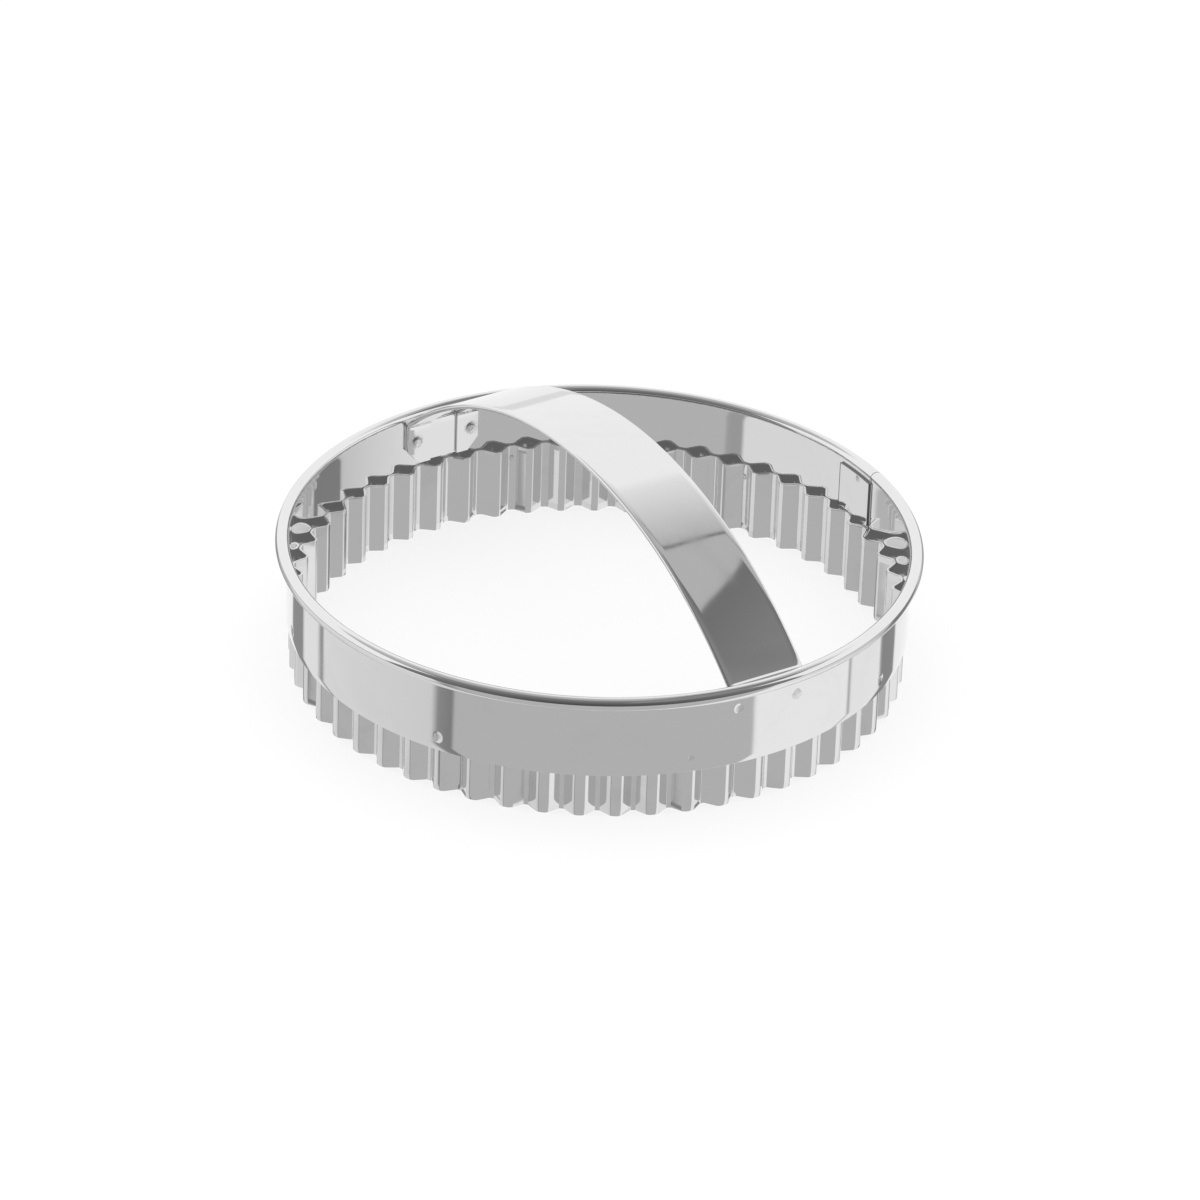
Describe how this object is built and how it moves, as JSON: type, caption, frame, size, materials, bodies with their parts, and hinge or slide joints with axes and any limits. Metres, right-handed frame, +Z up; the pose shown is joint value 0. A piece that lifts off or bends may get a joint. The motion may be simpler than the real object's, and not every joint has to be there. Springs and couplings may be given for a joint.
{
  "type": "biscuit cutter",
  "caption": "Round fluted biscuit cutter in thin polished sheet: corrugated cutting band welded inside a plain collar with a rolled rim, and an arched strap handle across the top.",
  "frame": {"origin": "on the ring's axis, in the plane of the cutting edge", "axes": "+Z up along the ring's axis towards the handle, X along the handle strap, Y across it"},
  "size_m": [0.1098, 0.1098, 0.0423],
  "materials": {
    "collar_sheet": "mirror-polished tinned or stainless sheet",
    "fluted_sheet": "bright rolled tinned or stainless sheet",
    "strap_sheet": "mirror-polished tinned or stainless sheet",
    "weld_metal": "dull grey spot weld marks"
  },
  "bodies": {
    "root": {"collar_band": "collar_sheet", "fluted_band": "fluted_sheet", "handle_strap": "strap_sheet", "handle_spot_welds": "weld_metal", "collar_seam_welds": "weld_metal", "fluted_seam_welds": "weld_metal", "band_spot_welds": "weld_metal"}
  },
  "joints": []
}
